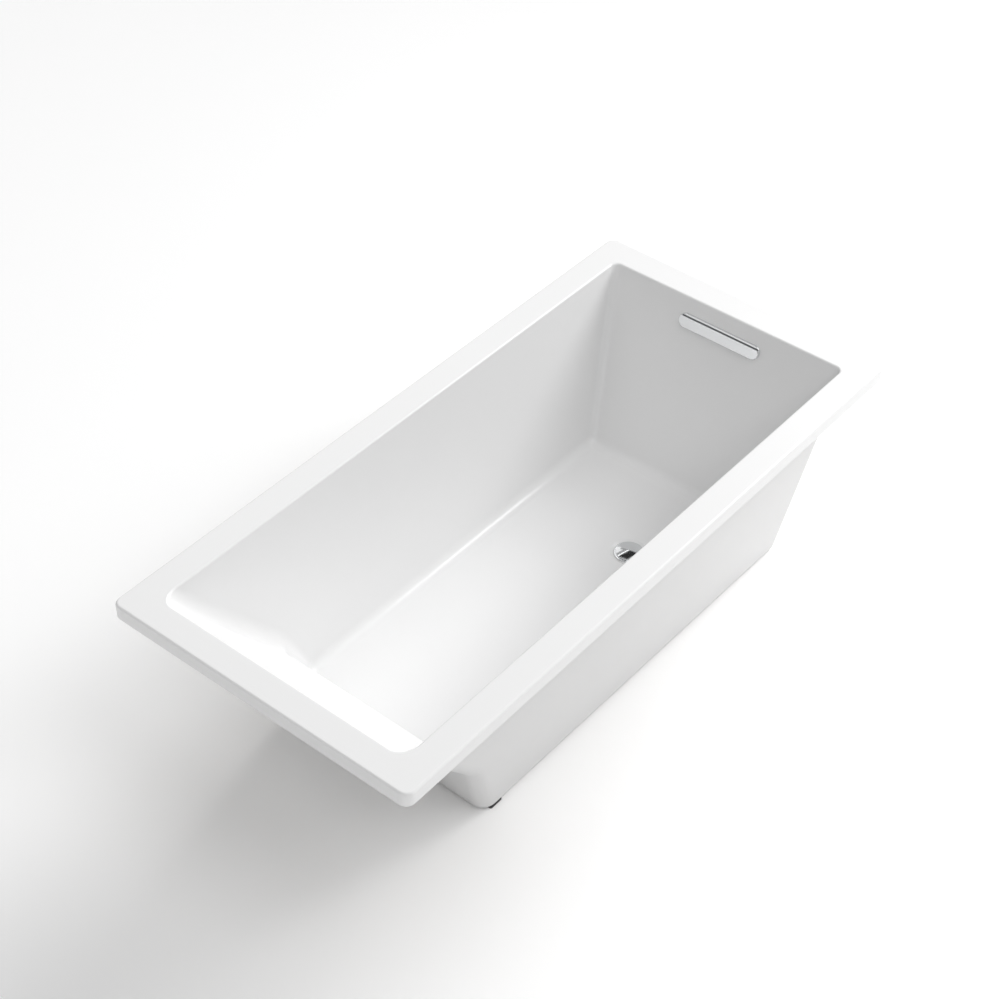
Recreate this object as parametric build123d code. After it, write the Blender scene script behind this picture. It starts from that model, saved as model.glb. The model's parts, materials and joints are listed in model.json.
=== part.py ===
from build123d import *
import os
from math import atan2, cos, radians, sin, tan

# Rectangular drop-in bath, 1700 x 800 mm, with a slotted overflow and a press-to-open waste.
# Millimetres, +Z up.  The origin is on the floor under the middle of the rim.
# +X points to the drain end, +Y to the bather's left when they lean on the backrest.

# Rim
LENGTH = 1700.0
WIDTH = 800.0
RIM_Z = 515.0
RIM_DROP = 34.5
RIM_CORNER = 22.0
RIM_EDGE_ROUND = 6.0
SKIN = 5.0

# Basin, on its inside faces
BASIN_DEPTH = 458.0
NEAR_INNER_X = -781.5
FAR_INNER_X = 770.5
SIDE_INNER_Y = 330.0
FLOOR_HALF_Y = 271.0
FAR_DRAFT = 17.2
BEND_X = -506.0
BEND_Z = RIM_Z - 330.0
NEAR_FLOOR_X = -445.0
BEND_ROUND = 70.0
NEAR_CORNER = 40.0
FAR_CORNER = 18.0
FLOOR_ROUND = 28.0
OPENING_ROUND = 6.0

# Outer body under the rim
SHELL_SKIN = 4.0
SHELL_TOP_HALF_Y = 340.5
SHELL_FAR_TOP_X = 787.0
SHELL_FAR_BOTTOM_X = 669.0
SHELL_NEAR_BOTTOM_X = -457.0
SHELL_NEAR_HALF_Y = 271.0
SHELL_FAR_HALF_Y = 281.5
SHELL_BACK_GAP = 9.4
SHELL_SEAT_SLOPE = 70.0
SHELL_BEND_ROUND = 30.0
SHELL_CORNER = 34.0
SHELL_FOOT_ROUND = 8.0
LIP_WIDTH = 50.0

# Timber, base board and feet
BATTEN_THICKNESS = 15.0
BATTEN_WIDTH = 38.0
BATTEN_INSET = 9.0
BOARD_THICKNESS = 12.0
BOARD_MARGIN = 11.0
BOARD_HALF_Y = 268.0
BOARD_NOTCH = 110.0
PAD_SIZE = 38.0
PAD_HEIGHT = 5.0
PAD_CORNER = 4.0
NEAR_FOOT_X = -418.0
FAR_FOOT_X = 628.0
FOOT_Y = 252.0
STUD_RADIUS = 5.0
STUD_FLANGE_RADIUS = 13.0
STUD_FLANGE = 2.0
STUD_TOP_Z = 50.0
SOCKET_SLEEVE = 8.0
SOCKET_PLATE = 3.0
SOCKET_PLATE_SIZE = 32.0
SOCKET_FOOT_Z = 29.0
SCREW_PITCH = 22.0
SCREW_RADIUS = 1.8
SCREW_BITE = 9.0
LOCK_NUT_HEIGHT = 6.0

# Waste fitting, with its pipe run straight to the overflow behind the far wall
DRAIN_X = 358.0
DRAIN_Y = -49.0
RECESS_RADIUS = 46.0
RECESS_DEPTH = 3.0
BOSS_RADIUS = 51.0
FLANGE_RADIUS = 37.0
FLANGE_BORE = 20.5
FLANGE_TOP = 3.8
BARREL_RADIUS = 24.0
BARREL_LENGTH = 20.0
PUTTY = 0.8
GASKET = 2.5
SHOE_RADIUS = 30.0
CAP_RADIUS = 33.0
CAP_THICKNESS = 2.0
CAP_DOME = 2.2
PIPE_RADIUS = 19.05
PIPE_WALL = 2.0
PIPE_Z = 27.0
NECK_RADIUS = 19.4
SOCKET_RADIUS = 22.4
SOCKET_LENGTH = 14.0
OUTLET_RADIUS = 20.0
OUTLET_LENGTH = 14.0
NUT_RADIUS = 24.6
SHOE_REACH = 66.0
TEE_REACH = 46.0
TEE_END_X = 844.0

# Overflow, on the far wall
OVERFLOW_DOWN = 58.4
OVERFLOW_LENGTH = 232.0
OVERFLOW_HEIGHT = 37.0
MOUTH_LENGTH = 214.0
MOUTH_HEIGHT = 17.0
MOUTH_RISE = 2.0
TRIM_THICKNESS = 2.6
TRIM_ROUND = 2.2
PLATE_TOP = 9.9
PLATE_PROUD = 8.6
PLATE_WALL = 3.5
PLATE_ROUND = 3.0
OVERFLOW_SCREW_X = 90.0
OVERFLOW_SCREW_Y = -13.2
HOPPER_FRONT_X = 786.5
HOPPER_BACK_X = 829.5
HOPPER_HALF_Y = 112.0
HOPPER_WALL = 2.2
HOPPER_TOP_Z = 478.0
HOPPER_SIDE_Z = 444.0
HOPPER_SOCKET_Z = 398.0
HOPPER_END_Z = 380.0
TEE_X = (HOPPER_FRONT_X + HOPPER_BACK_X) / 2

# Derived heights and places
FLOOR_Z = RIM_Z - BASIN_DEPTH
UNDER_Z = FLOOR_Z - SKIN
BOARD_Z = UNDER_Z - BOARD_THICKNESS
SEAT_Z = FLOOR_Z - RECESS_DEPTH
BOSS_Z = SEAT_Z - SKIN
SHELL_FOOT_Z = PAD_HEIGHT + 0.4
FLANGE_Z = SEAT_Z + PUTTY
BARREL_Z = FLANGE_Z - BARREL_LENGTH
CAP_Z = SEAT_Z + FLANGE_TOP + 0.5
FAR_FLOOR_X = FAR_INNER_X - BASIN_DEPTH * tan(radians(FAR_DRAFT))
FEET = {
    "near_left": (NEAR_FOOT_X, FOOT_Y),
    "near_right": (NEAR_FOOT_X, -FOOT_Y),
    "far_left": (FAR_FOOT_X, FOOT_Y),
    "far_right": (FAR_FOOT_X, -FOOT_Y),
}


# ---------------------------------------------------------------- simple solids

def box_between(x0, x1, y0, y1, z0, z1):
    """A box between two opposite corners."""
    return Pos((x0 + x1) / 2, (y0 + y1) / 2, (z0 + z1) / 2) * Box(x1 - x0, y1 - y0, z1 - z0)


def rod(radius, z0, z1):
    """A round bar along Z."""
    return Pos(0, 0, (z0 + z1) / 2) * Cylinder(radius, z1 - z0)


def ring(outer, inner, z0, z1):
    """A tube or washer along Z."""
    return rod(outer, z0, z1) - rod(inner, z0 - 1, z1 + 1)


def hexagon(flats, z0, z1):
    """A six-sided bar along Z, by its width across flats."""
    return extrude(Pos(0, 0, z0) * RegularPolygon(flats / 2, 6, major_radius=False), z1 - z0)


def spun(points):
    """A turned solid from the (radius, height) points of its half outline."""
    outline = make_face(Polyline(*[(r, 0, z) for r, z in points], close=True))
    return revolve(outline, Axis.Z)


def rounded_plate(length, width, z0, z1, corner):
    """A flat plate with rounded upright corners."""
    return extrude(Pos(0, 0, z0) * RectangleRounded(length, width, corner), z1 - z0)


def pill(length, height, z0, z1):
    """A bar along local Z with a stadium-shaped section that is long in local X."""
    return extrude(Pos(0, 0, z0) * SlotOverall(length, height), z1 - z0)


# ---------------------------------------------------------------- tapered blocks

def side_profile(points, bend_round):
    """A solid as wide as the rim from (x, z) points: near top, bend, near bottom, far bottom, far top."""
    outline = make_face(Polyline(*[(x, 0, z) for x, z in points], close=True))
    bend = [v for v in outline.vertices() if abs(v.X - points[1][0]) < 0.5]
    return extrude(fillet(bend, bend_round), WIDTH / 2, dir=(0, 1, 0), both=True)


def end_section(x, top, bottom, top_half_y, bottom_half_y):
    """The face across the block at one x, wider at the top than at the bottom."""
    ends = [(top_half_y, top), (bottom_half_y, bottom), (-bottom_half_y, bottom), (-top_half_y, top)]
    return make_face(Polyline(*[(x, y, z) for y, z in ends], close=True))


def corner_edges(block, near, shortest):
    """The sloping edges where an end wall meets the side walls, no shorter than a length."""
    chosen = []
    for edge in block.edges():
        middle = edge.center()
        run = (edge @ 1) - (edge @ 0)
        upright = abs(run.Z) > 3 and abs(run.Y) < 0.3 * abs(run.Z)
        if upright and abs(middle.Y) > 200 and (middle.X < 0) == near and edge.length > shortest:
            chosen.append(edge)
    return chosen


def foot_edges(block):
    """The edges round the bottom face."""
    foot_z = block.bounding_box().min.Z
    return [e for e in block.edges() if e.bounding_box().max.Z < foot_z + 0.01]


def soften(block, near_round, foot_round, far_round):
    """Round the near corners, the far corners and the foot, with the larger radius first."""
    block = fillet(corner_edges(block, True, 10), near_round)
    if far_round < foot_round:
        block = fillet(foot_edges(block), foot_round)
        return fillet(corner_edges(block, False, 100), far_round)
    block = fillet(corner_edges(block, False, 100), far_round)
    return fillet(foot_edges(block), foot_round)


def basin_block(grow):
    """The basin's hollow, grown outwards by a wall thickness."""
    lean = tan(radians(FAR_DRAFT))
    side_lean = (SIDE_INNER_Y - FLOOR_HALF_Y) / BASIN_DEPTH
    back_slope = atan2(RIM_Z - BEND_Z, BEND_X - NEAR_INNER_X)
    seat_slope = atan2(BEND_Z - FLOOR_Z, NEAR_FLOOR_X - BEND_X)
    floor_z = FLOOR_Z - grow
    back_shift = grow / sin(back_slope)
    seat_shift = grow / sin(seat_slope)
    bend_rise = (back_shift - seat_shift) / (1 / tan(back_slope) - 1 / tan(seat_slope))
    bend_z = BEND_Z - bend_rise
    bend_x = BEND_X - back_shift + bend_rise / tan(back_slope)
    near_floor_x = NEAR_FLOOR_X - seat_shift + grow / tan(seat_slope)
    far_shift = grow / cos(radians(FAR_DRAFT))
    far_floor_x = FAR_FLOOR_X + far_shift - grow * lean
    side = [
        (NEAR_INNER_X - back_shift, RIM_Z),
        (bend_x, bend_z),
        (near_floor_x, floor_z),
        (far_floor_x, floor_z),
        (FAR_INNER_X + far_shift, RIM_Z),
    ]
    side_shift = grow * (1 + side_lean ** 2) ** 0.5
    floor_half_y = FLOOR_HALF_Y + side_shift - grow * side_lean
    section = end_section(0, RIM_Z, floor_z, SIDE_INNER_Y + side_shift, floor_half_y)
    block = side_profile(side, BEND_ROUND) & extrude(section, LENGTH, dir=(1, 0, 0), both=True)
    return soften(block, NEAR_CORNER + grow, FLOOR_ROUND + grow, FAR_CORNER + grow)


def shell_half_y(x):
    """Half the outer body's width at its foot, which grows towards the drain end."""
    along = (x - SHELL_NEAR_BOTTOM_X) / (SHELL_FAR_BOTTOM_X - SHELL_NEAR_BOTTOM_X)
    return SHELL_NEAR_HALF_Y + along * (SHELL_FAR_HALF_Y - SHELL_NEAR_HALF_Y)


def shell_block(shrink):
    """The outer body, shrunk inwards by a wall thickness, down to its foot."""
    top = RIM_Z - SKIN
    foot = SHELL_FOOT_Z
    back_slope = atan2(RIM_Z - BEND_Z, BEND_X - NEAR_INNER_X)
    back_shift = (SHELL_BACK_GAP - shrink) / sin(back_slope)
    seat_slope = radians(SHELL_SEAT_SLOPE)
    near_x = SHELL_NEAR_BOTTOM_X + shrink / sin(seat_slope)
    far_lean = (SHELL_FAR_TOP_X - SHELL_FAR_BOTTOM_X) / (top - foot)
    side_lean = (SHELL_TOP_HALF_Y - SHELL_NEAR_HALF_Y) / (top - foot)
    far_shrink = shrink * (1 + far_lean ** 2) ** 0.5
    side_shrink = shrink * (1 + side_lean ** 2) ** 0.5
    near_top_x = NEAR_INNER_X - back_shift + SKIN / tan(back_slope)
    back_run = near_top_x + (top - foot) / tan(back_slope) - near_x
    rise = back_run / (1 / tan(back_slope) - 1 / tan(seat_slope))
    bend = (near_x - rise / tan(seat_slope), foot + rise)
    side = [
        (near_top_x, top),
        bend,
        (near_x, foot),
        (SHELL_FAR_BOTTOM_X - far_shrink, foot),
        (SHELL_FAR_TOP_X - far_shrink, top),
    ]
    sections = []
    for x in (-LENGTH / 2, LENGTH / 2):
        foot_half_y = shell_half_y(x) - side_shrink
        sections.append(end_section(x, top, foot, SHELL_TOP_HALF_Y - side_shrink, foot_half_y))
    block = side_profile(side, SHELL_BEND_ROUND) & loft(sections, ruled=True)
    return soften(block, SHELL_CORNER - shrink, SHELL_FOOT_ROUND, SHELL_CORNER - shrink)


# ---------------------------------------------------------------- placing

def on_wall(solid):
    """Put a solid onto the far wall, at the overflow.

    In its own frame X runs along the slot, Y up the wall and Z into the basin.
    """
    lean = radians(FAR_DRAFT)
    x = FAR_INNER_X - OVERFLOW_DOWN * sin(lean)
    z = RIM_Z - OVERFLOW_DOWN * cos(lean)
    plane = Plane(origin=(x, 0, z), x_dir=(0, -1, 0), z_dir=(-cos(lean), 0, sin(lean)))
    return plane.location * solid


def at_drain(solid):
    """Put a solid made round the Z axis onto the drain's axis."""
    return Pos(DRAIN_X, DRAIN_Y, 0) * solid


def at_tee(solid):
    """Put a solid made round the Z axis onto the overflow pipe's axis."""
    return Pos(TEE_X, DRAIN_Y, 0) * solid


def along_pipe(solid, start_x):
    """Lay a solid made along +Z on the waste pipe's axis, so that it runs to +X."""
    return Pos(start_x, DRAIN_Y, PIPE_Z) * Rot(0, 90, 0) * solid


def back_along_pipe(solid, start_x):
    """Lay a solid made along +Z on the waste pipe's axis, so that it runs to -X."""
    return Pos(start_x, DRAIN_Y, PIPE_Z) * Rot(0, -90, 0) * solid


def at_feet(solid):
    """One copy of a solid at each of the four feet."""
    return Part() + [Pos(x, y, 0) * solid for x, y in FEET.values()]


def at_screws(solid):
    """One copy of a solid at each of the four screws of a foot socket."""
    half = SCREW_PITCH / 2
    return Part() + [Pos(x, y, 0) * solid for x in (-half, half) for y in (-half, half)]


# ---------------------------------------------------------------- bath body

def rim_plate():
    """The flat rim with its turned-down edge, before the basin is cut out of it."""
    plate = rounded_plate(LENGTH, WIDTH, RIM_Z - RIM_DROP, RIM_Z, RIM_CORNER)
    upper = [e for e in plate.edges() if e.bounding_box().min.Z > RIM_Z - 0.01]
    plate = fillet(upper, RIM_EDGE_ROUND)
    inner_length = LENGTH - 2 * SKIN
    inner_width = WIDTH - 2 * SKIN
    under_z = RIM_Z - RIM_DROP - 1
    return plate - rounded_plate(inner_length, inner_width, under_z, RIM_Z - SKIN, RIM_CORNER - SKIN)


def opening_edges(body):
    """The rim's inner edge, all round the basin."""
    chosen = []
    for edge in body.edges():
        box = edge.bounding_box()
        inside = box.max.Y < SIDE_INNER_Y + 1 and box.min.Y > -SIDE_INNER_Y - 1
        if box.min.Z > RIM_Z - 0.01 and inside and box.max.X < FAR_INNER_X + 1:
            chosen.append(edge)
    return chosen


def bath_liner():
    """White acrylic: rim, turned-down edge, basin walls and floor in one skin."""
    boss = at_drain(rod(BOSS_RADIUS, BOSS_Z, UNDER_Z + 1))
    body = rim_plate() + basin_block(SKIN) + boss - basin_block(0)
    body = fillet(opening_edges(body), OPENING_ROUND)
    above = FLOOR_Z + 9
    dish = [
        (0, SEAT_Z),
        (FLANGE_RADIUS + 2, SEAT_Z),
        (RECESS_RADIUS, FLOOR_Z),
        (RECESS_RADIUS, above),
        (0, above),
    ]
    hole = rod(BARREL_RADIUS + 1.5, BOSS_Z - 1, above)
    mouth = Pos(0, MOUTH_RISE, 0) * pill(MOUTH_LENGTH + 8, MOUTH_HEIGHT + 6, -20, 20)
    return body - at_drain(spun(dish)) - at_drain(hole) - on_wall(mouth) - on_wall(screw_bars(2.3, -20, 20))


def backing_shell():
    """The moulded outer body: a skin bonded to the liner's back, with a turned-in foot."""
    shell = shell_block(0) - shell_block(SHELL_SKIN) - basin_block(SKIN)
    lip_z = SHELL_FOOT_Z + SHELL_SKIN
    lip = shell_block(0) & box_between(-LENGTH, LENGTH, -WIDTH, WIDTH, SHELL_FOOT_Z, lip_z)
    x0 = SHELL_NEAR_BOTTOM_X + LIP_WIDTH
    x1 = SHELL_FAR_BOTTOM_X - LIP_WIDTH
    half_y = SHELL_NEAR_HALF_Y - LIP_WIDTH
    middle = box_between(x0, x1, -half_y, half_y, 0, 20)
    shell = shell + (lip - middle)
    window = Pos(0, 0, -30) * Box(250, 64, 60)
    pipe_way = box_between(600, 720, DRAIN_Y - 24, DRAIN_Y + 24, 0, 50)
    return shell - on_wall(window) - pipe_way - at_feet(rod(14, 0, 20))


def base_board():
    """Plywood bonded under the basin floor, notched round the waste."""
    x0 = SHELL_NEAR_BOTTOM_X + BOARD_MARGIN - SKIN
    x1 = SHELL_FAR_BOTTOM_X - BOARD_MARGIN
    plate = rounded_plate(x1 - x0, 2 * BOARD_HALF_Y, BOARD_Z, UNDER_Z, 24)
    plate = Pos((x0 + x1) / 2, 0, 0) * plate
    half = BOARD_NOTCH / 2
    notch = box_between(DRAIN_X, x1 + 1, DRAIN_Y - half, DRAIN_Y + half, BOARD_Z - 1, UNDER_Z + 1)
    around = at_drain(rod(half, BOARD_Z - 1, UNDER_Z + 1))
    sleeves = at_feet(rod(SOCKET_SLEEVE, 0, UNDER_Z - 1.5))
    screws = at_feet(at_screws(rod(SCREW_RADIUS, 0, BOARD_Z + SCREW_BITE)))
    return plate - notch - around - sleeves - screws


def side_batten(side):
    """Timber under one long side of the rim."""
    y1 = side * (WIDTH / 2 - BATTEN_INSET)
    y0 = side * (WIDTH / 2 - BATTEN_INSET - BATTEN_WIDTH)
    half_x = LENGTH / 2 - RIM_CORNER
    top = RIM_Z - SKIN
    return box_between(-half_x, half_x, min(y0, y1), max(y0, y1), top - BATTEN_THICKNESS, top)


def end_batten(end):
    """Timber under one end of the rim, between the two long ones."""
    x1 = end * (LENGTH / 2 - BATTEN_INSET)
    x0 = end * (LENGTH / 2 - BATTEN_INSET - BATTEN_WIDTH)
    half_y = WIDTH / 2 - BATTEN_INSET - BATTEN_WIDTH - 1
    top = RIM_Z - SKIN
    return box_between(min(x0, x1), max(x0, x1), -half_y, half_y, top - BATTEN_THICKNESS, top)


# ---------------------------------------------------------------- feet

def foot_pad():
    """Square rubber-faced pad, with a pocket for the stud's flange."""
    pad = rounded_plate(PAD_SIZE, PAD_SIZE, 0, PAD_HEIGHT, PAD_CORNER)
    return pad - rod(STUD_FLANGE_RADIUS, PAD_HEIGHT - STUD_FLANGE, PAD_HEIGHT + 1)


def foot_stud():
    """Threaded steel stud with a flange and a hexagon to turn it by."""
    flange = rod(STUD_FLANGE_RADIUS, PAD_HEIGHT - STUD_FLANGE, PAD_HEIGHT)
    return flange + hexagon(17, PAD_HEIGHT, 11) + rod(STUD_RADIUS, 10, STUD_TOP_Z)


def foot_socket():
    """Threaded steel sleeve on a square plate, let into the base board from below."""
    plate = rounded_plate(SOCKET_PLATE_SIZE, SOCKET_PLATE_SIZE, BOARD_Z - SOCKET_PLATE, BOARD_Z, 5)
    sleeve = rod(SOCKET_SLEEVE, SOCKET_FOOT_Z, UNDER_Z - 1.5)
    thread = rod(STUD_RADIUS + 0.2, 0, UNDER_Z)
    return plate + sleeve - thread - at_screws(rod(SCREW_RADIUS, 30, BOARD_Z + 1))


def foot_lock_nut():
    """Hexagon nut that holds the stud against the socket."""
    nut = hexagon(17, SOCKET_FOOT_Z - LOCK_NUT_HEIGHT, SOCKET_FOOT_Z)
    return nut - rod(STUD_RADIUS + 0.2, 0, UNDER_Z)


def socket_screws():
    """The four wood screws of one socket, up through its plate into the board."""
    plate_z = BOARD_Z - SOCKET_PLATE
    screw = rod(2 * SCREW_RADIUS, plate_z - 2, plate_z) + rod(SCREW_RADIUS, plate_z, BOARD_Z + SCREW_BITE)
    return at_screws(screw)


# ---------------------------------------------------------------- waste fitting

def drain_flange():
    """Chromed flange and threaded barrel, with a cross that carries the stopper's post."""
    top = SEAT_Z + FLANGE_TOP
    dish = top - 1.8
    outline = [
        (FLANGE_RADIUS, FLANGE_Z),
        (FLANGE_RADIUS, top - 1.4),
        (FLANGE_RADIUS - 1.4, top),
        (29, top),
        (25, dish),
        (FLANGE_BORE, dish),
        (FLANGE_BORE, BARREL_Z),
        (BARREL_RADIUS, BARREL_Z),
        (BARREL_RADIUS, FLANGE_Z),
    ]
    bar = Box(2 * FLANGE_BORE + 1, 3, 4)
    cross = Pos(0, 0, BARREL_Z + 2) * (bar + Rot(0, 0, 90) * bar) + rod(8, BARREL_Z - 4, BARREL_Z + 4)
    return at_drain(spun(outline) + cross - rod(5, BARREL_Z - 5, BARREL_Z + 5))


def drain_putty():
    """Soft sealing ring between the flange and the basin."""
    return at_drain(ring(FLANGE_RADIUS - 1, BARREL_RADIUS + 1.5, SEAT_Z, FLANGE_Z))


def drain_gasket():
    """Rubber washer between the basin's underside and the shoe."""
    return at_drain(ring(SHOE_RADIUS + 4, BARREL_RADIUS + 1.5, BOSS_Z - GASKET, BOSS_Z))


def drain_shoe():
    """Low elbow under the floor: it takes the flange's barrel and turns the water to +X."""
    top = BOSS_Z - GASKET
    floor = PIPE_Z - NECK_RADIUS
    body = rod(SHOE_RADIUS, floor, top) + rod(SHOE_RADIUS + 4, top - 6, top)
    neck = along_pipe(rod(NECK_RADIUS, 0, SHOE_REACH - SOCKET_LENGTH), DRAIN_X)
    socket = along_pipe(rod(SOCKET_RADIUS, 0, SOCKET_LENGTH), DRAIN_X + SHOE_REACH - SOCKET_LENGTH)
    chamber = rod(SHOE_RADIUS - 4, floor + 3, BARREL_Z) + rod(BARREL_RADIUS + 0.1, floor + 3, top + 1)
    bore = along_pipe(rod(PIPE_RADIUS - PIPE_WALL, 10, SHOE_REACH), DRAIN_X)
    seat = along_pipe(rod(PIPE_RADIUS + 0.2, 0, SOCKET_LENGTH), DRAIN_X + SHOE_REACH - SOCKET_LENGTH + 1)
    return at_drain(body) + neck + socket - at_drain(chamber) - bore - seat


def slip_washer():
    """Tapered-joint washer, just outside a socket whose mouth is at Z = 0."""
    return ring(SOCKET_RADIUS, PIPE_RADIUS, 0, 2.5)


def slip_nut():
    """Ribbed nut over a socket whose mouth is at Z = 0."""
    nut = rod(NUT_RADIUS, -10, 6)
    ribs = [Rot(0, 0, 30 * n) * Pos(NUT_RADIUS, 0, -2) * Cylinder(1.0, 14) for n in range(12)]
    return nut - ribs - rod(SOCKET_RADIUS + 0.2, -11, 2.7) - rod(PIPE_RADIUS + 0.2, 0, 7)


def waste_pipe():
    """Straight pipe from the shoe to the tee."""
    start = DRAIN_X + SHOE_REACH - SOCKET_LENGTH + 2
    end = TEE_X - TEE_REACH + SOCKET_LENGTH - 2
    return along_pipe(ring(PIPE_RADIUS, PIPE_RADIUS - PIPE_WALL, 0, end - start), start)


def waste_tee():
    """Tee behind the far wall: waste pipe in, overflow pipe in from above, spigot out to +X."""
    run_start = TEE_X - TEE_REACH
    outlet_x = TEE_END_X - OUTLET_LENGTH
    run = along_pipe(rod(NECK_RADIUS, 0, outlet_x - run_start), run_start)
    inlet = along_pipe(rod(SOCKET_RADIUS, 0, SOCKET_LENGTH), run_start)
    spigot = along_pipe(rod(OUTLET_RADIUS, 0, OUTLET_LENGTH), outlet_x)
    branch_top = PIPE_Z + TEE_REACH
    branch = rod(NECK_RADIUS, PIPE_Z, branch_top) + rod(SOCKET_RADIUS, branch_top - SOCKET_LENGTH, branch_top)
    bore = along_pipe(rod(PIPE_RADIUS - PIPE_WALL, -1, TEE_END_X - run_start + 1), run_start)
    inlet_seat = along_pipe(rod(PIPE_RADIUS + 0.2, -1, SOCKET_LENGTH - 1), run_start)
    branch_bore = rod(PIPE_RADIUS - PIPE_WALL, PIPE_Z, branch_top + 1)
    branch_seat = rod(PIPE_RADIUS + 0.2, branch_top - SOCKET_LENGTH + 1, branch_top + 1)
    body = run + inlet + spigot + at_tee(branch)
    return body - bore - inlet_seat - at_tee(branch_bore) - at_tee(branch_seat)


# ---------------------------------------------------------------- stopper

def stopper_cap():
    """Polished cap with a shallow dome."""
    dome_radius = (CAP_RADIUS ** 2 + CAP_DOME ** 2) / (2 * CAP_DOME)
    crown = CAP_Z + CAP_THICKNESS + CAP_DOME
    ball = Pos(0, 0, crown - dome_radius) * Sphere(dome_radius)
    cap = rod(CAP_RADIUS, CAP_Z, crown + 1) & ball
    return at_drain(fillet(cap.edges().filter_by(GeomType.CIRCLE), 0.6))


def stopper_seal():
    """Rubber washer under the cap."""
    return at_drain(ring(24.5, 12, CAP_Z - 2, CAP_Z))


def stopper_sleeve():
    """Brass sleeve under the cap that slides on the post."""
    return at_drain(ring(8, 6.3, BARREL_Z + 9, CAP_Z))


def stopper_post():
    """Brass post screwed into the flange's cross, bored for the spring."""
    thread = rod(5, BARREL_Z - 5, BARREL_Z + 4)
    nut = hexagon(14, BARREL_Z + 4, BARREL_Z + 7)
    guide = rod(6, BARREL_Z + 7, BARREL_Z + 20) - rod(4, BARREL_Z + 9, BARREL_Z + 21)
    return at_drain(thread + nut + guide)


def stopper_spring():
    """Spring that lifts the cap when the latch in the post is let go."""
    coil = Helix(pitch=2.4, height=12.0, radius=3.0)
    wire = sweep(Plane(origin=coil @ 0, z_dir=coil % 0) * Circle(0.5), path=coil)
    return at_drain(Pos(0, 0, BARREL_Z + 9.8) * wire)


# ---------------------------------------------------------------- overflow

def screw_bars(radius, z0, z1):
    """Two bars at the overflow's fixing points, under its mouth and behind its plate."""
    bar = Pos(0, OVERFLOW_SCREW_Y, 0) * rod(radius, z0, z1)
    return Pos(-OVERFLOW_SCREW_X, 0, 0) * bar + Pos(OVERFLOW_SCREW_X, 0, 0) * bar


def overflow_trim():
    """Chromed pill-shaped frame round the overflow's mouth."""
    face = pill(OVERFLOW_LENGTH, OVERFLOW_HEIGHT, 0, TRIM_THICKNESS)
    front = [e for e in face.edges() if e.bounding_box().min.Z > TRIM_THICKNESS - 0.01]
    face = fillet(front, TRIM_ROUND)
    mouth = Pos(0, MOUTH_RISE, 0) * pill(MOUTH_LENGTH, MOUTH_HEIGHT, -1, TRIM_THICKNESS + 1)
    return on_wall(face - mouth - screw_bars(2.2, -1, TRIM_THICKNESS + 1))


def overflow_face_plate():
    """Chromed cover over the lower part of the mouth: water spills in over its top edge."""
    z0 = TRIM_THICKNESS
    body = pill(OVERFLOW_LENGTH, OVERFLOW_HEIGHT, z0, PLATE_PROUD)
    front = [e for e in body.edges() if e.bounding_box().min.Z > PLATE_PROUD - 0.01]
    body = fillet(front, PLATE_ROUND)
    hollow = pill(OVERFLOW_LENGTH - 4, OVERFLOW_HEIGHT - 4, z0 - 1, PLATE_PROUD - PLATE_WALL)
    upper = Pos(0, PLATE_TOP + OVERFLOW_HEIGHT / 2, 0) * Box(OVERFLOW_LENGTH + 2, OVERFLOW_HEIGHT, 40)
    return on_wall(body - hollow - upper)


def overflow_gasket():
    """Rubber gasket between the wall's back and the overflow body's flange."""
    sheet = pill(240, 54, -SKIN - 2, -SKIN)
    mouth = Pos(0, MOUTH_RISE, 0) * pill(MOUTH_LENGTH + 8, MOUTH_HEIGHT + 6, -20, 0)
    return on_wall(sheet - mouth - screw_bars(2.2, -20, 0))


def overflow_screws():
    """Two screws from the trim into the overflow body."""
    z0 = TRIM_THICKNESS
    return on_wall(screw_bars(2.0, -14, z0) + screw_bars(3.0, z0, z0 + 2))


def hopper_outline(inset):
    """The overflow body's outline seen along X, with its spout off to the drain's side."""
    side = HOPPER_HALF_Y - inset
    spout = PIPE_RADIUS + 2.4 - inset
    top = HOPPER_TOP_Z - inset
    slope_z = HOPPER_SIDE_Z + inset * 0.6
    neck_z = HOPPER_SOCKET_Z + 4 + inset * 0.6
    end_z = HOPPER_SOCKET_Z if inset else HOPPER_END_Z
    points = [
        (-side, top), (side, top), (side, slope_z), (DRAIN_Y + spout, neck_z), (DRAIN_Y + spout, end_z),
        (DRAIN_Y - spout, end_z), (DRAIN_Y - spout, neck_z), (-side, slope_z),
    ]
    x0 = HOPPER_FRONT_X + inset
    face = make_face(Polyline(*[(x0, y, z) for y, z in points], close=True))
    return extrude(face, HOPPER_BACK_X - HOPPER_FRONT_X - 2 * inset, dir=(1, 0, 0))


def overflow_body():
    """Plastic collector behind the wall: flange, neck, hopper and a spout for the pipe."""
    flange = pill(240, 54, -SKIN - 5, -SKIN - 2)
    rise = Pos(0, MOUTH_RISE, 0)
    neck = rise * pill(MOUTH_LENGTH + 4, MOUTH_HEIGHT + 4, -44, 0)
    mouth = rise * pill(MOUTH_LENGTH, MOUTH_HEIGHT, -44, 1)
    past_front = box_between(HOPPER_FRONT_X + 1, LENGTH, -WIDTH, WIDTH, 0, RIM_Z)
    front = on_wall(flange - screw_bars(2.0, -20, 0) + neck) - past_front
    hollow = on_wall(mouth) - box_between(HOPPER_FRONT_X + 6, LENGTH, -WIDTH, WIDTH, 0, RIM_Z)
    spout = at_tee(rod(PIPE_RADIUS + 0.1, HOPPER_END_Z - 1, HOPPER_SOCKET_Z))
    way = at_tee(rod(PIPE_RADIUS - PIPE_WALL, HOPPER_END_Z, HOPPER_SOCKET_Z + 6))
    return front + hopper_outline(0) - hopper_outline(HOPPER_WALL) - hollow - spout - way


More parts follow.
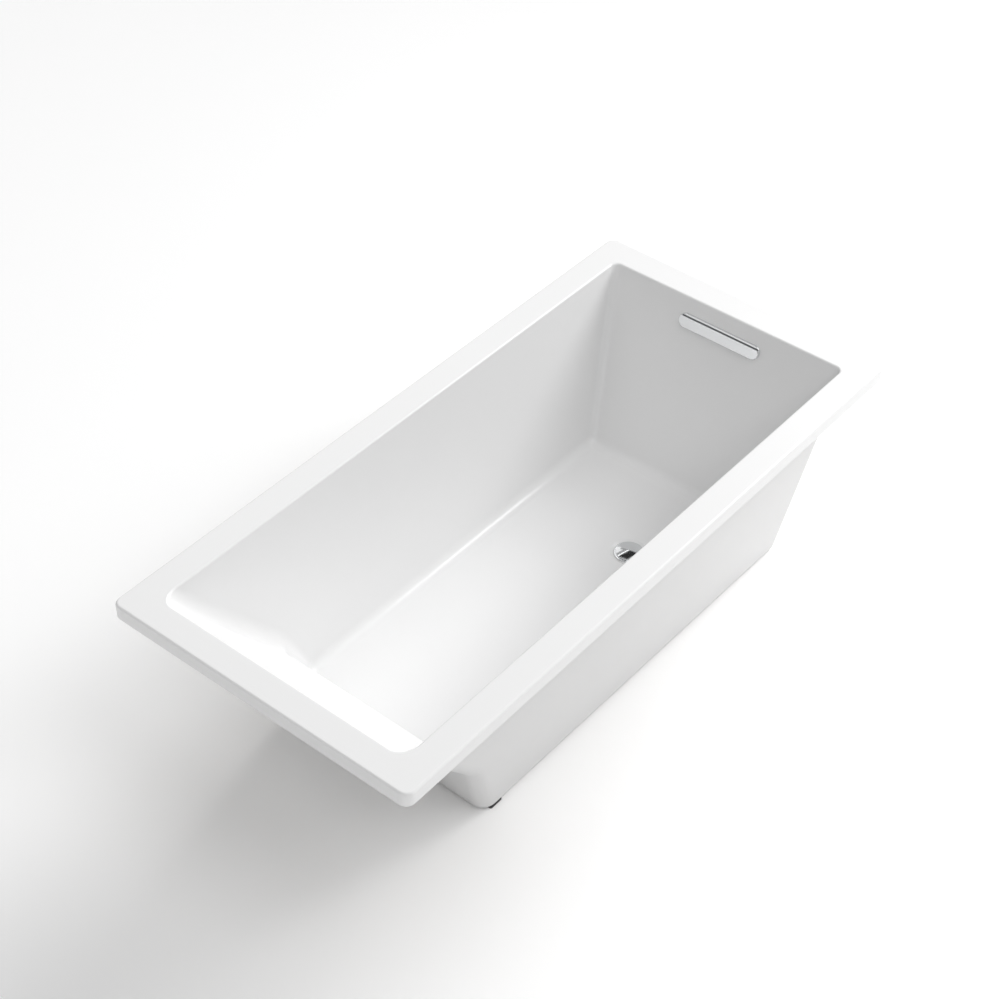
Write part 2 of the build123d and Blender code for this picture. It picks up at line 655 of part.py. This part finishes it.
def overflow_pipe():
    """Upright pipe from the overflow body down to the tee."""
    z0 = PIPE_Z + TEE_REACH - SOCKET_LENGTH + 2
    return at_tee(ring(PIPE_RADIUS, PIPE_RADIUS - PIPE_WALL, z0, HOPPER_SOCKET_Z - 1))


# ---------------------------------------------------------------- all nodes

def all_nodes():
    """Every separate piece, by node name."""
    shoe_mouth = DRAIN_X + SHOE_REACH
    tee_mouth = TEE_X - TEE_REACH
    branch_mouth = Pos(0, 0, PIPE_Z + TEE_REACH)
    nodes = {
        "bath_liner": bath_liner(),
        "backing_shell": backing_shell(),
        "base_board": base_board(),
        "rim_batten_left": side_batten(1),
        "rim_batten_right": side_batten(-1),
        "rim_batten_near": end_batten(-1),
        "rim_batten_far": end_batten(1),
        "foot_sockets": at_feet(foot_socket()),
        "foot_lock_nuts": at_feet(foot_lock_nut()),
        "foot_socket_screws": at_feet(socket_screws()),
        "drain_flange": drain_flange(),
        "drain_putty_ring": drain_putty(),
        "drain_gasket": drain_gasket(),
        "drain_shoe": drain_shoe(),
        "shoe_slip_washer": along_pipe(slip_washer(), shoe_mouth),
        "shoe_slip_nut": along_pipe(slip_nut(), shoe_mouth),
        "waste_pipe": waste_pipe(),
        "tee_inlet_washer": back_along_pipe(slip_washer(), tee_mouth),
        "tee_inlet_nut": back_along_pipe(slip_nut(), tee_mouth),
        "waste_tee": waste_tee(),
        "tee_branch_washer": at_tee(branch_mouth * slip_washer()),
        "tee_branch_nut": at_tee(branch_mouth * slip_nut()),
        "overflow_pipe": overflow_pipe(),
        "overflow_body": overflow_body(),
        "overflow_gasket": overflow_gasket(),
        "overflow_trim": overflow_trim(),
        "overflow_face_plate": overflow_face_plate(),
        "overflow_screws": overflow_screws(),
        "stopper_cap": stopper_cap(),
        "stopper_seal": stopper_seal(),
        "stopper_sleeve": stopper_sleeve(),
        "stopper_post": stopper_post(),
        "stopper_spring": stopper_spring(),
    }
    for name, (x, y) in FEET.items():
        nodes["foot_pad_" + name] = Pos(x, y, 0) * foot_pad()
        nodes["foot_stud_" + name] = Pos(x, y, 0) * foot_stud()
    return nodes


os.makedirs("parts", exist_ok=True)
for node_name, node_solid in all_nodes().items():
    export_step(node_solid, "parts/" + node_name + ".step")
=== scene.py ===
import json
from math import cos, radians, sin

import bpy
from mathutils import Matrix, Vector


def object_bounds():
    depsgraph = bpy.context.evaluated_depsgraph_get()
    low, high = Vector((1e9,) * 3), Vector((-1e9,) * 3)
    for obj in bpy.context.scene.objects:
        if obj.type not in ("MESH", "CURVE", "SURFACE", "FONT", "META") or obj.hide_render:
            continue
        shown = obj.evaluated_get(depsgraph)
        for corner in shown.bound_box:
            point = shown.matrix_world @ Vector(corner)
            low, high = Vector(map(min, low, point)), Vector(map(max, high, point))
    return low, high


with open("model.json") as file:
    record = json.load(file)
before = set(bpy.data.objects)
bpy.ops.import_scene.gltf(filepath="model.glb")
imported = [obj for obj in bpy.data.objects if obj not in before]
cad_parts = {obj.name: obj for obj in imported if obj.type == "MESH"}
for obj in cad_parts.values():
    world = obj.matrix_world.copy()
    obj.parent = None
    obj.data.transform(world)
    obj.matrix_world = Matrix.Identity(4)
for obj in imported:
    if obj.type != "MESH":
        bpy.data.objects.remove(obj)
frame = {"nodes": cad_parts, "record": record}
CAD_BOX = [list(corner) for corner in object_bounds()]
RIM_Z = CAD_BOX[1][2]

# Camera: its angles round the bath in degrees, and its distance and aim in metres from the
# middle of the rim's top. Lens and sensor are in millimetres.
CAMERA_AZIMUTH = -51.585
CAMERA_HEIGHT_ANGLE = 41.958
CAMERA_ROLL = 1.182
CAMERA_DISTANCE = 4.526
CAMERA_AIM_RIGHT = -0.056
CAMERA_AIM_UP = -0.052
CAMERA_LENS = 74.67
SENSOR_WIDTH = 36.0

FLOOR_SIZE = 40.0
WORLD_STRENGTH = 0.37

# Very distant lamps: name, the point they shine from, strength, and spread in degrees
SKY_LAMPS = (
    ("end_key", (1.0, 0.1, 0.55), 1.72, 30.0),
    ("ceiling", (0.05, 0.0, 1.0), 0.20, 60.0),
    ("left_side", (0.15, -0.6, 1.0), 0.46, 30.0),
    ("camera_side", (-0.5, -0.42, 0.75), 0.38, 30.0),
)

# The one near lamp, square, with its power in watts
SOFTBOX_PLACE = (2.6, -1.4, 2.4)
SOFTBOX_AIM = (0, 0, 0.3)
SOFTBOX_SIDE = 1.4
SOFTBOX_POWER = 46.0

# Cards for the chrome to reflect: name, middle, length along X, width along Y, and glow
CARD_Z = 2.2
CARDS = (
    ("bright_card", (1.20, 2.00, CARD_Z), 1.90, 1.10, 0.95),
    ("grey_card", (2.95, 1.50, CARD_Z), 1.30, 1.60, 0.42),
    ("dark_card", (1.86, 0.95, CARD_Z), 0.80, 0.45, 0.03),
    ("edge_card", (1.86, 1.22, CARD_Z), 0.85, 0.07, 1.6),
)


# ---------------------------------------------------------------- node helpers

def new_material(name, color, roughness, metallic=0.0):
    """A material with one Principled shader, and the few values that are the same all over it."""
    material = bpy.data.materials.new(name)
    material.use_nodes = True
    shader = material.node_tree.nodes["Principled BSDF"]
    shader.inputs["Base Color"].default_value = (*color, 1.0)
    shader.inputs["Roughness"].default_value = roughness
    shader.inputs["Metallic"].default_value = metallic
    return material, material.node_tree, shader


def object_position(tree, stretch=(1.0, 1.0, 1.0)):
    """Object coordinates, stretched along each axis."""
    place = tree.nodes.new("ShaderNodeTexCoord")
    mapping = tree.nodes.new("ShaderNodeMapping")
    mapping.inputs["Scale"].default_value = stretch
    tree.links.new(place.outputs["Object"], mapping.inputs["Vector"])
    return mapping.outputs["Vector"]


def noise(tree, scale, detail=4.0, stretch=(1.0, 1.0, 1.0), roughness=0.5):
    """A noise pattern fixed to the object."""
    node = tree.nodes.new("ShaderNodeTexNoise")
    node.inputs["Scale"].default_value = scale
    node.inputs["Detail"].default_value = detail
    node.inputs["Roughness"].default_value = roughness
    tree.links.new(object_position(tree, stretch), node.inputs["Vector"])
    return node.outputs["Fac"]


def bands(tree, scale, axis, distortion=0.0, detail_scale=1.0):
    """Even bands across one axis."""
    node = tree.nodes.new("ShaderNodeTexWave")
    node.bands_direction = axis
    node.inputs["Scale"].default_value = scale
    node.inputs["Distortion"].default_value = distortion
    node.inputs["Detail Scale"].default_value = detail_scale
    tree.links.new(object_position(tree), node.inputs["Vector"])
    return node.outputs["Fac"]


def ramp(tree, factor, low, high, start=0.0, end=1.0):
    """Colours between low and high as the factor goes from start to end."""
    node = tree.nodes.new("ShaderNodeValToRGB")
    node.color_ramp.elements[0].position = start
    node.color_ramp.elements[0].color = (*low, 1.0)
    node.color_ramp.elements[1].position = end
    node.color_ramp.elements[1].color = (*high, 1.0)
    tree.links.new(factor, node.inputs["Fac"])
    return node.outputs["Color"]


def span(tree, factor, low, high):
    """Numbers between low and high as the factor goes from 0 to 1."""
    node = tree.nodes.new("ShaderNodeMapRange")
    node.inputs["To Min"].default_value = low
    node.inputs["To Max"].default_value = high
    tree.links.new(factor, node.inputs["Value"])
    return node.outputs["Result"]


def bump(tree, shader, height, strength, distance):
    """Relief on a shader."""
    node = tree.nodes.new("ShaderNodeBump")
    node.inputs["Strength"].default_value = strength
    node.inputs["Distance"].default_value = distance
    tree.links.new(height, node.inputs["Height"])
    tree.links.new(node.outputs["Normal"], shader.inputs["Normal"])


# ---------------------------------------------------------------- materials

def acrylic():
    """Cast acrylic: white, glossy, with a barely visible unevenness from forming."""
    material, tree, shader = new_material("acrylic_white", (0.83, 0.83, 0.83), 0.20)
    shader.inputs["IOR"].default_value = 1.49
    tint = ramp(tree, noise(tree, 3.0), (0.822, 0.822, 0.822), (0.838, 0.838, 0.838))
    tree.links.new(tint, shader.inputs["Base Color"])
    tree.links.new(span(tree, noise(tree, 9.0), 0.20, 0.27), shader.inputs["Roughness"])
    bump(tree, shader, noise(tree, 55.0, detail=2.0), 0.05, 0.0004)
    return material


def gelcoat():
    """Sprayed outer skin: white, a little duller than the acrylic, with orange peel."""
    material, tree, shader = new_material("shell_gelcoat", (0.86, 0.86, 0.86), 0.33)
    tint = ramp(tree, noise(tree, 4.0), (0.70, 0.70, 0.70), (0.72, 0.72, 0.72))
    tree.links.new(tint, shader.inputs["Base Color"])
    tree.links.new(span(tree, noise(tree, 14.0), 0.29, 0.40), shader.inputs["Roughness"])
    bump(tree, shader, noise(tree, 160.0, detail=3.0), 0.08, 0.0004)
    return material


def chrome():
    """Polished chrome plate, with the faint waviness of polishing."""
    material, tree, shader = new_material("chrome_polished", (0.83, 0.84, 0.85), 0.06, 1.0)
    tree.links.new(span(tree, noise(tree, 120.0), 0.04, 0.09), shader.inputs["Roughness"])
    bump(tree, shader, noise(tree, 40.0, detail=1.0), 0.02, 0.0003)
    return material


def brass():
    """Turned brass, with fine rings from the lathe."""
    material, tree, shader = new_material("brass_turned", (0.72, 0.54, 0.25), 0.25, 1.0)
    tint = ramp(tree, noise(tree, 200.0), (0.66, 0.48, 0.21), (0.76, 0.58, 0.28))
    tree.links.new(tint, shader.inputs["Base Color"])
    bump(tree, shader, bands(tree, 900.0, "Z"), 0.15, 0.0001)
    return material


def zinc_steel():
    """Zinc plate: grey, slightly spangled, duller in patches."""
    material, tree, shader = new_material("zinc_steel", (0.62, 0.63, 0.65), 0.35, 1.0)
    tint = ramp(tree, noise(tree, 350.0), (0.52, 0.53, 0.55), (0.70, 0.71, 0.72), 0.3, 0.7)
    tree.links.new(tint, shader.inputs["Base Color"])
    tree.links.new(span(tree, noise(tree, 90.0), 0.26, 0.46), shader.inputs["Roughness"])
    return material


def spring_steel():
    """Bright drawn wire."""
    material, tree, shader = new_material("spring_wire", (0.55, 0.56, 0.58), 0.22, 1.0)
    tree.links.new(span(tree, noise(tree, 600.0), 0.18, 0.30), shader.inputs["Roughness"])
    return material


def black_rubber(name, color, grain):
    """Matte rubber with a fine moulded grain."""
    material, tree, shader = new_material(name, color, 0.7)
    lighter = tuple(channel * 1.5 for channel in color)
    tree.links.new(ramp(tree, noise(tree, 60.0), color, lighter), shader.inputs["Base Color"])
    tree.links.new(span(tree, noise(tree, 200.0), 0.6, 0.8), shader.inputs["Roughness"])
    bump(tree, shader, noise(tree, grain, detail=3.0), 0.3, 0.0002)
    return material


def putty():
    """Soft sealing putty, dull and slightly lumpy."""
    material, tree, shader = new_material("putty_grey", (0.62, 0.60, 0.54), 0.6)
    tint = ramp(tree, noise(tree, 150.0), (0.58, 0.56, 0.50), (0.68, 0.66, 0.60))
    tree.links.new(tint, shader.inputs["Base Color"])
    bump(tree, shader, noise(tree, 300.0), 0.4, 0.0003)
    return material


def pipe_plastic(name, color):
    """Moulded pipe plastic: satin, with faint flow marks along the moulding."""
    material, tree, shader = new_material(name, color, 0.38)
    darker = tuple(channel * 0.94 for channel in color)
    tint = ramp(tree, noise(tree, 12.0, stretch=(1, 1, 0.3)), darker, color)
    tree.links.new(tint, shader.inputs["Base Color"])
    tree.links.new(span(tree, noise(tree, 40.0), 0.32, 0.45), shader.inputs["Roughness"])
    bump(tree, shader, noise(tree, 500.0, detail=2.0), 0.06, 0.0002)
    return material


def plywood():
    """Birch plywood: long grain on the faces, thin layers on the edges."""
    material, tree, shader = new_material("plywood_birch", (0.70, 0.55, 0.37), 0.55)
    grain = noise(tree, 26.0, detail=8.0, stretch=(0.08, 1.0, 1.0), roughness=0.6)
    face = ramp(tree, grain, (0.56, 0.40, 0.24), (0.76, 0.60, 0.41), 0.3, 0.72)
    edge = ramp(tree, bands(tree, 180.0, "Z"), (0.42, 0.29, 0.17), (0.74, 0.59, 0.41), 0.35, 0.6)
    geometry = tree.nodes.new("ShaderNodeNewGeometry")
    parts = tree.nodes.new("ShaderNodeSeparateXYZ")
    upright = tree.nodes.new("ShaderNodeMath")
    upright.operation = "ABSOLUTE"
    mix = tree.nodes.new("ShaderNodeMix")
    mix.data_type = "RGBA"
    tree.links.new(geometry.outputs["Normal"], parts.inputs["Vector"])
    tree.links.new(parts.outputs["Z"], upright.inputs[0])
    tree.links.new(upright.outputs[0], mix.inputs["Factor"])
    tree.links.new(edge, mix.inputs["A"])
    tree.links.new(face, mix.inputs["B"])
    tree.links.new(mix.outputs["Result"], shader.inputs["Base Color"])
    bump(tree, shader, grain, 0.2, 0.0004)
    return material


def timber(name, stretch):
    """Planed softwood with its grain along the batten."""
    material, tree, shader = new_material(name, (0.74, 0.58, 0.38), 0.6)
    grain = noise(tree, 38.0, detail=8.0, stretch=stretch, roughness=0.62)
    tint = ramp(tree, grain, (0.58, 0.42, 0.24), (0.80, 0.66, 0.46), 0.32, 0.7)
    tree.links.new(tint, shader.inputs["Base Color"])
    bump(tree, shader, grain, 0.25, 0.0004)
    return material


def paint_node(name, material):
    """Give a CAD node a material in every slot it has."""
    mesh = frame["nodes"][name].data
    if not mesh.materials:
        mesh.materials.append(material)
    for index in range(len(mesh.materials)):
        mesh.materials[index] = material


def paint_all():
    """A material for every CAD node, by its slot in the record."""
    by_slot = {
        "acrylic": acrylic(),
        "shell_coat": gelcoat(),
        "plywood": plywood(),
        "timber": timber("softwood_long", (0.06, 1.0, 1.0)),
        "zinc_steel": zinc_steel(),
        "pad_rubber": black_rubber("pad_rubber", (0.035, 0.035, 0.037), 420.0),
        "chrome": chrome(),
        "brass": brass(),
        "spring_steel": spring_steel(),
        "seal_rubber": black_rubber("seal_rubber", (0.02, 0.02, 0.021), 700.0),
        "putty": putty(),
        "pipe_plastic": pipe_plastic("pipe_plastic_white", (0.80, 0.80, 0.79)),
        "nut_plastic": pipe_plastic("nut_plastic_white", (0.74, 0.74, 0.73)),
    }
    for part in frame["record"]["subparts"]:
        paint_node(part["node"], by_slot[part["material_slot"]])
    across = timber("softwood_across", (1.0, 0.06, 1.0))
    for name in ("rim_batten_near", "rim_batten_far"):
        paint_node(name, across)


# ---------------------------------------------------------------- stage, light and camera

def add_floor():
    """A wide, plain, pale floor under the bath."""
    bpy.ops.mesh.primitive_plane_add(size=FLOOR_SIZE, location=(0, 0, 0))
    floor = bpy.context.object
    floor.name = "studio_floor"
    material, _, shader = new_material("floor_white", (0.97, 0.97, 0.97), 0.9)
    shader.inputs["Specular IOR Level"].default_value = 0.1
    floor.data.materials.append(material)


def add_world(strength):
    """Even white light from all round."""
    world = bpy.data.worlds.new("studio_white")
    world.use_nodes = True
    background = world.node_tree.nodes["Background"]
    background.inputs["Color"].default_value = (1.0, 1.0, 1.0, 1.0)
    background.inputs["Strength"].default_value = strength
    bpy.context.scene.world = world


def add_softbox(name, place, aim, side, power):
    """A square lamp at a place, turned to an aim point."""
    light = bpy.data.lights.new(name, "AREA")
    light.shape = "RECTANGLE"
    light.size = side
    light.size_y = side
    light.energy = power
    lamp = bpy.data.objects.new(name, light)
    bpy.context.collection.objects.link(lamp)
    lamp.location = place
    lamp.rotation_euler = (Vector(aim) - Vector(place)).to_track_quat("-Z", "Y").to_euler()


def add_sky_lamp(name, source, strength, spread):
    """A very distant soft lamp, from the direction of a source point."""
    light = bpy.data.lights.new(name, "SUN")
    light.energy = strength
    light.angle = radians(spread)
    lamp = bpy.data.objects.new(name, light)
    bpy.context.collection.objects.link(lamp)
    lamp.rotation_euler = (-Vector(source)).to_track_quat("-Z", "Y").to_euler()


def add_card(name, middle, length, width, glow):
    """A level card overhead that shows only as a reflection in polished metal."""
    x, y, z = middle
    mesh = bpy.data.meshes.new(name)
    corners = [(-1, -1), (1, -1), (1, 1), (-1, 1)]
    points = [(x + a * length / 2, y + b * width / 2, z) for a, b in corners]
    mesh.from_pydata(points, [], [(0, 1, 2, 3)])
    material = bpy.data.materials.new(name)
    material.use_nodes = True
    nodes = material.node_tree.nodes
    nodes.clear()
    emission = nodes.new("ShaderNodeEmission")
    emission.inputs["Strength"].default_value = glow
    output = nodes.new("ShaderNodeOutputMaterial")
    material.node_tree.links.new(emission.outputs[0], output.inputs["Surface"])
    mesh.materials.append(material)
    card = bpy.data.objects.new(name, mesh)
    bpy.context.collection.objects.link(card)
    card.visible_camera = False
    card.visible_diffuse = False
    card.visible_shadow = False
    card.visible_transmission = False


def add_camera():
    """The camera, at its angle round the bath and aimed near the middle of the rim."""
    azimuth = radians(CAMERA_AZIMUTH)
    height = radians(CAMERA_HEIGHT_ANGLE)
    back = Vector((sin(azimuth) * cos(height), -cos(azimuth) * cos(height), sin(height)))
    right = (-back).cross(Vector((0, 0, 1))).normalized()
    up = right.cross(-back)
    turn = Matrix.Rotation(-radians(CAMERA_ROLL), 3, -back)
    right = turn @ right
    up = turn @ up
    data = bpy.data.cameras.new("camera")
    data.sensor_width = SENSOR_WIDTH
    data.lens = CAMERA_LENS
    camera = bpy.data.objects.new("camera", data)
    bpy.context.collection.objects.link(camera)
    place = Vector((0, 0, RIM_Z)) + back * CAMERA_DISTANCE
    place += right * CAMERA_AIM_RIGHT + up * CAMERA_AIM_UP
    camera.matrix_world = Matrix((
        (right.x, up.x, back.x, place.x),
        (right.y, up.y, back.y, place.y),
        (right.z, up.z, back.z, place.z),
        (0, 0, 0, 1),
    ))
    bpy.context.scene.camera = camera


def add_stage():
    """Floor, light and camera."""
    bpy.context.scene.view_settings.view_transform = "Standard"
    add_floor()
    add_world(WORLD_STRENGTH)
    for lamp in SKY_LAMPS:
        add_sky_lamp(*lamp)
    add_softbox("corner_softbox", SOFTBOX_PLACE, SOFTBOX_AIM, SOFTBOX_SIDE, SOFTBOX_POWER)
    for card in CARDS:
        add_card(*card)
    add_camera()


paint_all()
add_stage()
